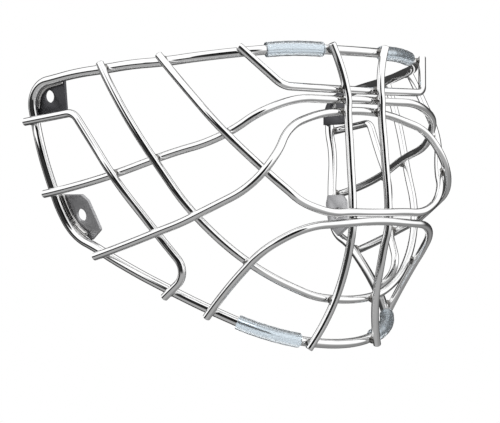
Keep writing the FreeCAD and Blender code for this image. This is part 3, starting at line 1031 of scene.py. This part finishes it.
@dataclass
class VinylSleeves:
    """Four clear tubes pushed over the rim at the crown and the chin."""

    layout: Layout
    finish: ExtrudedClearVinyl
    wall: float = 1.45
    bore_gap: float = 0.12
    lip: float = 0.45
    lip_drop: float = 0.12
    unevenness: float = 0.04
    sides: int = 32
    places: dict[str, tuple[str, str, float, float]] = field(default_factory=lambda: {
        "crown_sleeve": ("crown_bar", "crown_hoop", 4.5, 34.0),
        "chin_sleeve": ("chin_bar", "jaw_mouth", 5.5, 36.0)})

    def _tube(self, name: str, line: list[Vector]) -> bpy.types.Object:
        """A tube with rounded ends round a line.

        Args:
            name: Name of the object.
            line: Places in millimetres.

        Returns:
            The object, in the scene.
        """
        inner = self.layout.rim_radius + self.bore_gap
        outer = self.layout.rim_radius + self.wall
        last = len(line) - 1
        face = [inner, outer - self.lip, outer - self.lip_drop]
        stops = [(0, radius) for radius in face] + [(1, outer)]
        stops += [(k, outer + self.unevenness * math.sin(0.9 * k))
                  for k in range(2, last - 1)]
        stops += [(last - 1, outer)] + [(last, radius) for radius in reversed(face)]
        stops += [(k, inner) for k in range(last - 1, 0, -1)]
        across = Vector((0.0, 0.0, 1.0))
        frames = []
        for k in range(len(line)):
            along = (line[min(k + 1, last)] - line[max(k - 1, 0)]).normalized()
            across = (across - along * across.dot(along)).normalized()
            frames.append((across.copy(), along.cross(across)))
        shape = bmesh.new()
        rings = []
        for k, radius in stops:
            one, two = frames[k]
            ring = []
            for j in range(self.sides):
                angle = math.tau * j / self.sides
                arm = one * math.cos(angle) + two * math.sin(angle)
                ring.append(shape.verts.new((line[k] + arm * radius) * MM))
            rings.append(ring)
        for i, ring in enumerate(rings):
            after = rings[(i + 1) % len(rings)]
            for j in range(self.sides):
                k = (j + 1) % self.sides
                shape.faces.new((ring[j], ring[k], after[k], after[j]))
        bmesh.ops.recalc_face_normals(shape, faces=shape.faces)
        for face in shape.faces:
            face.smooth = True
        mesh = bpy.data.meshes.new(name)
        shape.to_mesh(mesh)
        shape.free()
        mesh.set_sharp_from_angle(angle=math.radians(50.0))
        return shown(name, mesh)

    def build(self) -> None:
        """Builds every sleeve and hands it over."""
        material = self.finish.material()
        for node, (start, towards, setback, length) in self.places.items():
            line = self.layout.rim_stretch(start, towards, setback, length)
            for side in Side:
                target = "%s_%s" % (node, side.tag)
                piece = self._tube("vinyl_" + target, flipped(line, side))
                piece.data.materials.append(material)
                hand_over(piece, self.finish.slot, target)


@dataclass
class ScrewTabs:
    """Four punched plates with a screw hole, from the cage's own solids."""

    # The temple tabs get the darker copy of the sheet, which is painted shade.
    temple_shaded_finish: TumbledStainlessSheet
    jaw_finish: TumbledStainlessSheet
    edge_finish: ShearedSheetEdge
    edge_round: float = 0.00022

    def build(self) -> None:
        """Rounds the edges of each plate, dresses it and hands it over."""
        edge_material = self.edge_finish.material()
        finishes = {"temple_tab": self.temple_shaded_finish, "jaw_tab": self.jaw_finish}
        for corner, finish in finishes.items():
            face_material = finish.material()
            for side in Side:
                target = "%s_%s" % (corner, side.tag)
                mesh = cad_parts[target].data.copy()
                shape = bmesh.new()
                shape.from_mesh(mesh)
                bmesh.ops.remove_doubles(shape, verts=shape.verts, dist=1e-6)
                bmesh.ops.dissolve_limit(shape, angle_limit=math.radians(2.0),
                                         verts=shape.verts, edges=shape.edges)
                broad = max(shape.faces, key=lambda face: face.calc_area()).normal.copy()
                for face in shape.faces:
                    face.material_index = 0 if abs(face.normal.dot(broad)) > 0.7 else 1
                    face.smooth = True
                shape.to_mesh(mesh)
                shape.free()
                mesh.materials.clear()
                mesh.materials.append(face_material)
                mesh.materials.append(edge_material)
                piece = shown("punched_" + target, mesh)
                bevel = piece.modifiers.new("edge", "BEVEL")
                bevel.width = self.edge_round
                bevel.segments = 2
                bevel.limit_method = "ANGLE"
                bevel.angle_limit = math.radians(50.0)
                plain(piece)
                hand_over(piece, finish.slot, target)


@dataclass
class TabBeads:
    """Rippled weld beads that join the plates to the rim."""

    layout: Layout
    bar: RoundBar
    finish: PolishedStainlessWire
    slot: str = "bare_weld"
    gap: float = 0.05
    ripple: float = 0.025
    ripple_pitch: float = 1.1
    radii: dict[str, float] = field(default_factory=lambda: {
        "temple_tab": 0.8, "jaw_tab": 1.4})
    places: dict[str, tuple[str, str, float, float]] = field(default_factory=lambda: {
        "temple_tab": ("temple_top", "temple_cheek", 13.5, 30.0),
        "jaw_tab": ("temple_brow", "jaw_eye", 2.5, 32.0)})
    planes: dict[str, tuple[Vector, Vector]] = field(default_factory=lambda: {
        "temple_tab": (Vector((-112.945, 7.010, 32.706)),
                       Vector((-0.97813, -0.18115, -0.10218))),
        "jaw_tab": (Vector((-101.532, -7.133, -33.192)),
                    Vector((-0.96500, -0.13745, -0.22335)))})

    def _beside_rim(self, node: str) -> list[Vector]:
        """Line of the bead, in the corner between the rim and a plate's face.

        Args:
            node: Kind of tab.

        Returns:
            Points about a millimetre apart.
        """
        start, towards, setback, length = self.places[node]
        hole, normal = self.planes[node]
        radius = self.radii[node]
        line = self.layout.rim_stretch(start, towards, setback, length)
        beside = []
        for k, spot in enumerate(line):
            heading = line[min(k + 1, len(line) - 1)] - line[max(k - 1, 0)]
            inward = normal.cross(heading).normalized()
            if inward.dot(hole - spot) < 0.0:
                inward = -inward
            drop = (spot - hole).dot(normal) - radius - self.gap
            reach = self.layout.rim_radius + radius + self.gap
            beside.append(spot + inward * math.sqrt(max(0.0, reach ** 2 - drop ** 2))
                          - normal * drop)
        return beside

    def build(self) -> None:
        """Builds every bead and hands it over."""
        material = self.finish.material()
        for node in self.places:
            line = self._beside_rim(node)
            count = len(line)
            taper = [min(1.0, 0.45 + 0.3 * min(k, count - 1 - k)) for k in range(count)]
            for side in Side:
                target = "%s_weld_%s" % (node, side.tag)
                piece = polyline("bead_" + target, flipped(line, side), False, taper,
                                 [0.0] * count)
                self.bar.grow(piece, Radius=self.radii[node] * MM, Sides=16,
                              Ripple=self.ripple, Ripple_Pitch=self.ripple_pitch * MM,
                              Material=material)
                hand_over(piece, self.slot, target)


@dataclass
class CrossingWelds:
    """The nuggets that hold crossing wires together, grouped by region."""

    layout: Layout
    nuggets: SqueezedNuggets
    finish: ResistanceWeldMetal
    radius: float = 2.5
    lump: float = 0.8
    groups: dict[str, list[str]] = field(default_factory=lambda: {
        "crown_rim_welds": ["crown_bar", "crown_hoop", "crown_nose", "crown_chin",
                            "temple_cheek"],
        "jaw_rim_welds": ["temple_brow", "jaw_eye", "jaw_cheek", "jaw_mouth", "chin_bar"],
        "centre_bar_welds": ["bar_hoop", "bar_brow", "bar_eye", "bar_nose", "bar_mouth",
                             "bar_chin"],
        "side_grid_welds": ["nose_brow", "nose_eye", "chin_brow", "chin_eye",
                            "chin_mouth", "cheek_brow", "cheek_eye"]})

    def build(self) -> None:
        """Builds every group and hands it over."""
        material = self.finish.material()
        for group, crossings in self.groups.items():
            spots = [self.layout.contact(name) for name in crossings]
            outward = [self.layout.normal[name] for name in crossings]
            for side in Side:
                target = "%s_%s" % (group, side.tag)
                mesh = bpy.data.meshes.new("nuggets_" + target)
                mesh.from_pydata([tuple(p * MM) for p in flipped(spots, side)], [], [])
                layer = mesh.attributes.new("outward", "FLOAT_VECTOR", "POINT")
                turned = [c for v in flipped(outward, side) for c in v]
                layer.data.foreach_set("vector", turned)
                piece = shown("nuggets_" + target, mesh)
                self.nuggets.grow(piece, Radius=self.radius * MM, Lump=self.lump * MM,
                                  Material=material)
                hand_over(piece, self.finish.slot, target)


# ------------------------------------------------------------------------ studio
@dataclass(frozen=True)
class Card:
    """A dark or grey card of the studio, as the polished wires see it.

    Attributes:
        towards: Direction of the card's middle.
        inner: Angle in degrees within which the card is full.
        outer: Angle in degrees at which it has faded out.
        level: Brightness of the card, where white is 1.
    """

    towards: tuple[float, float, float]
    inner: float
    outer: float
    level: float


@dataclass
class Studio:
    """White light tent with dark cards, a pale floor, a soft lamp and the camera."""

    floor_height: float = -0.34
    floor_radius: float = 1.55
    cards: tuple[Card, ...] = (
        Card((0.68, 0.73, -0.25), 56.0, 76.0, 0.05),
        Card((0.55, -0.10, -0.80), 20.0, 50.0, 0.28),
        Card((-0.70, -0.71, 0.04), 29.0, 35.0, 0.006),
    )
    slot_bottom: tuple[float, float] = (-0.44, -0.38)
    slot_top: tuple[float, float] = (0.07, 0.0)
    slot_start: tuple[float, float] = (0.50, 0.62)
    slot_level: float = 0.03
    lamp_place: tuple[float, float, float] = (-0.5, -0.7, 1.2)
    lamp_size: float = 1.1
    lamp_power: float = 5.0
    eye: tuple[float, float, float] = (-0.87730, -0.97630, -0.02903)
    target: tuple[float, float, float] = (0.00746, -0.02750, -0.03150)
    roll_degrees: float = -0.1098
    focal_length: float = 160.66

    def _slot(self, tree: bpy.types.NodeTree, height: bpy.types.NodeSocket,
              way: bpy.types.NodeSocket,
              level: bpy.types.NodeSocket) -> bpy.types.NodeSocket:
        """Lays the dark slot between tent and table over the studio's left side.

        Args:
            tree: The world's node tree.
            height: Upward share of the direction.
            way: The direction.
            level: Brightness so far.

        Returns:
            Brightness with the slot.
        """
        below = ranged(tree, height, self.slot_bottom, smooth=True)
        above = ranged(tree, height, self.slot_top, smooth=True)
        left = add(tree, "ShaderNodeVectorMath", {0: way, 1: (-1.0, 0.0, 0.0)},
                   operation="DOT_PRODUCT")
        reach = ranged(tree, left.outputs["Value"], self.slot_start, smooth=True)
        share = calculated(tree, "MULTIPLY", calculated(tree, "MULTIPLY", below, above), reach)
        return weighed(tree, share, level, self.slot_level)

    def _world(self) -> None:
        """Lights the scene white; polished metal sees the cards and a grey table."""
        world = bpy.data.worlds.new("White tent")
        bpy.context.scene.world = world
        world.use_nodes = True
        tree = world.node_tree
        tree.nodes.clear()
        way = add(tree, "ShaderNodeTexCoord").outputs["Generated"]
        height = add(tree, "ShaderNodeSeparateXYZ", {0: way}).outputs["Z"]
        level = ranged(tree, height, (-0.42, 0.04), (0.42, 1.2), smooth=True)
        for card in self.cards:
            facing = add(tree, "ShaderNodeVectorMath", {
                0: way, 1: Vector(card.towards).normalized()}, operation="DOT_PRODUCT")
            edges = (math.cos(math.radians(card.outer)), math.cos(math.radians(card.inner)))
            share = ranged(tree, facing.outputs["Value"], edges, smooth=True)
            level = weighed(tree, share, level, card.level)
        level = self._slot(tree, height, way, level)
        path = add(tree, "ShaderNodeLightPath")
        seen = weighed(tree, path.outputs["Is Glossy Ray"], 1.0, level)
        light = add(tree, "ShaderNodeBackground", {"Color": (1.0, 1.0, 1.0, 1.0),
                                                   "Strength": seen})
        add(tree, "ShaderNodeOutputWorld", {"Surface": light.outputs[0]})

    def _floor(self) -> None:
        """A plain pale disc that fades out at its rim and keeps the shadow."""
        shape = bmesh.new()
        bmesh.ops.create_circle(shape, cap_ends=True, segments=96, radius=self.floor_radius)
        bmesh.ops.translate(shape, verts=shape.verts, vec=(0.0, 0.0, self.floor_height))
        mesh = bpy.data.meshes.new("floor")
        shape.to_mesh(mesh)
        shape.free()
        floor = shown("floor", mesh)
        material = bpy.data.materials.new("Pale paper floor")
        material.use_nodes = True
        tree = material.node_tree
        tree.nodes.clear()
        place = add(tree, "ShaderNodeTexCoord")
        far = add(tree, "ShaderNodeVectorMath", {0: place.outputs["Object"]},
                  operation="LENGTH")
        fade = ranged(tree, far.outputs["Value"],
                      (0.55 * self.floor_radius, self.floor_radius), smooth=True)
        paper = add(tree, "ShaderNodeBsdfDiffuse", {"Color": linear("#F7F7F7")})
        clear = add(tree, "ShaderNodeBsdfTransparent")
        both = add(tree, "ShaderNodeMixShader", {0: fade,
                                                 1: paper.outputs[0],
                                                 2: clear.outputs[0]})
        add(tree, "ShaderNodeOutputMaterial", {"Surface": both.outputs[0]})
        mesh.materials.append(material)
        floor.visible_glossy = False

    def _lamp(self) -> None:
        """One large soft lamp above and in front."""
        data = bpy.data.lights.new("softbox", "AREA")
        data.shape = "DISK"
        data.size = self.lamp_size
        data.energy = self.lamp_power
        lamp = bpy.data.objects.new("softbox", data)
        bpy.context.scene.collection.objects.link(lamp)
        lamp.location = self.lamp_place
        lamp.rotation_mode = "QUATERNION"
        lamp.rotation_quaternion = (-Vector(self.lamp_place)).to_track_quat("-Z", "Y")
        lamp.visible_glossy = False

    def _camera(self) -> None:
        """Camera level with the cage, to its front and left."""
        data = bpy.data.cameras.new("camera")
        data.sensor_fit = "HORIZONTAL"
        data.sensor_width = 36.0
        data.lens = self.focal_length
        data.clip_start = 0.05
        data.clip_end = 50.0
        camera = bpy.data.objects.new("camera", data)
        bpy.context.scene.collection.objects.link(camera)
        roll = math.radians(self.roll_degrees)
        forward = (Vector(self.target) - Vector(self.eye)).normalized()
        right = forward.cross(Vector((0.0, 0.0, 1.0))).normalized()
        up = right.cross(forward)
        level = right * math.cos(roll) + up * math.sin(roll)
        upright = up * math.cos(roll) - right * math.sin(roll)
        turn = Matrix((level, upright, -forward)).transposed().to_4x4()
        camera.matrix_world = Matrix.Translation(self.eye) @ turn
        bpy.context.scene.camera = camera

    def build(self) -> None:
        """Builds the studio and sets the plain view transform."""
        self._world()
        self._floor()
        self._lamp()
        self._camera()
        bpy.context.scene.view_settings.view_transform = "Standard"


def main() -> None:
    """Builds the cage and its studio in order."""
    logging.basicConfig(level=logging.INFO, format="%(name)s %(message)s")
    layout = Layout()
    round_bar = RoundBar()
    wire = PolishedStainlessWire("Electropolished stainless wire", "stainless_wire",
                                 "#F3F3F3")
    rim = PolishedStainlessWire("Electropolished stainless rim wire", "stainless_rim",
                                "#F3F3F3")
    bead = PolishedStainlessWire("Brushed-over stainless weld bead", "bare_weld",
                                 "#D4D3D2", roughness=(0.08, 0.16))
    # Painted shade: the temple tabs are the same stainless sheet as the jaw tabs, painted a
    # darker grey to stand in for the dark reflection that their flat faces show.
    shaded_sheet = TumbledStainlessSheet("Stainless sheet with painted shade", "stainless_sheet", "#66666A",
                                 "#58585B")
    sheet = TumbledStainlessSheet("Tumbled stainless sheet", "stainless_sheet", "#C6C6C8",
                                  "#B6B6B8")
    edge = ShearedSheetEdge("Sheared stainless edge", "stainless_sheet", "#D8D8D8")
    weld = ResistanceWeldMetal("Bare resistance weld", "bare_weld", "#3C3A39")
    vinyl = ExtrudedClearVinyl("Extruded clear vinyl", "clear_vinyl", "#EEF5FA")
    WireGrid(layout, round_bar, wire, rim).build()
    VinylSleeves(layout, vinyl).build()
    ScrewTabs(shaded_sheet, sheet, edge).build()
    TabBeads(layout, round_bar, bead).build()
    CrossingWelds(layout, SqueezedNuggets(), weld).build()
    Studio().build()


if __name__ == "__main__":
    main()
